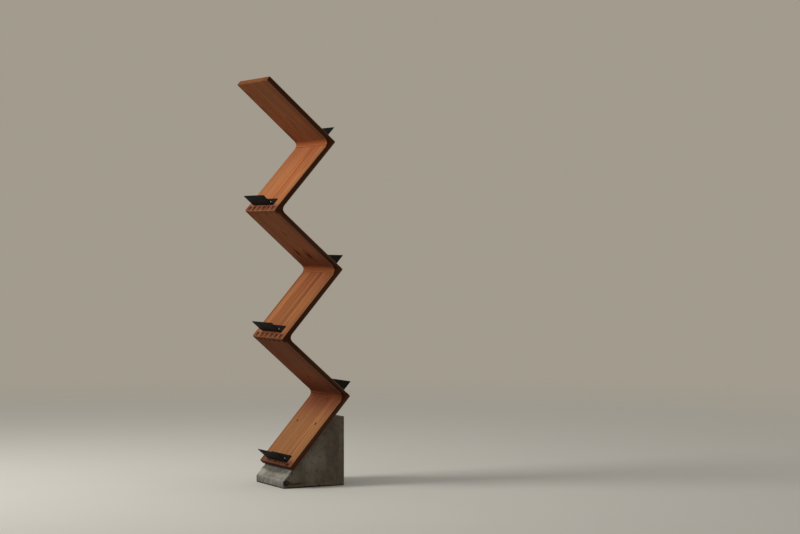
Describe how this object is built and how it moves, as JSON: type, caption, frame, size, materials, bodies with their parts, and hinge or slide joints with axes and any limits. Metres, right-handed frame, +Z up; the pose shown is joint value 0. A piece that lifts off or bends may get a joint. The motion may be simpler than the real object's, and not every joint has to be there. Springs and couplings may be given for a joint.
{
  "type": "magazine shelf",
  "caption": "Free-standing zigzag magazine shelf of finger-jointed wooden boards with black steel ledges, bolted to a cast concrete wedge.",
  "frame": {"origin": "centre of the concrete wedge's underside, on the floor", "axes": "+Z up, -Y to the front where the wedge is low, X across the boards"},
  "size_m": [0.325, 0.4354, 1.8107],
  "materials": {
    "wood": "oiled, reddish brown softwood with straight grain",
    "black_steel": "fine matt black powder coat",
    "bright_steel": "bright screw heads",
    "zinc_steel": "dull zinc",
    "concrete": "cast concrete, matt, with small air holes"
  },
  "bodies": {
    "root": {"concrete_base": "concrete", "board_1_bottom": "wood", "board_2": "wood", "board_3": "wood", "board_4": "wood", "board_5": "wood", "board_6_top": "wood", "corner_cove_1": "wood", "corner_cove_2": "wood", "corner_cove_3": "wood", "corner_cove_4": "wood", "corner_cove_5": "wood", "ledge_1": "black_steel", "ledge_2": "black_steel", "ledge_3": "black_steel", "ledge_4": "black_steel", "ledge_5": "black_steel", "ledge_6": "black_steel", "ledge_screw_1_left": "bright_steel", "ledge_screw_1_right": "bright_steel", "ledge_screw_2_left": "bright_steel", "ledge_screw_2_right": "bright_steel", "ledge_screw_3_left": "bright_steel", "ledge_screw_3_right": "bright_steel", "ledge_screw_4_left": "bright_steel", "ledge_screw_4_right": "bright_steel", "ledge_screw_5_left": "bright_steel", "ledge_screw_5_right": "bright_steel", "ledge_screw_6_left": "bright_steel", "ledge_screw_6_right": "bright_steel", "base_bolt_left": "black_steel", "base_bolt_right": "black_steel", "base_washer_left": "zinc_steel", "base_washer_right": "zinc_steel", "base_anchor_left": "zinc_steel", "base_anchor_right": "zinc_steel"}
  },
  "joints": []
}
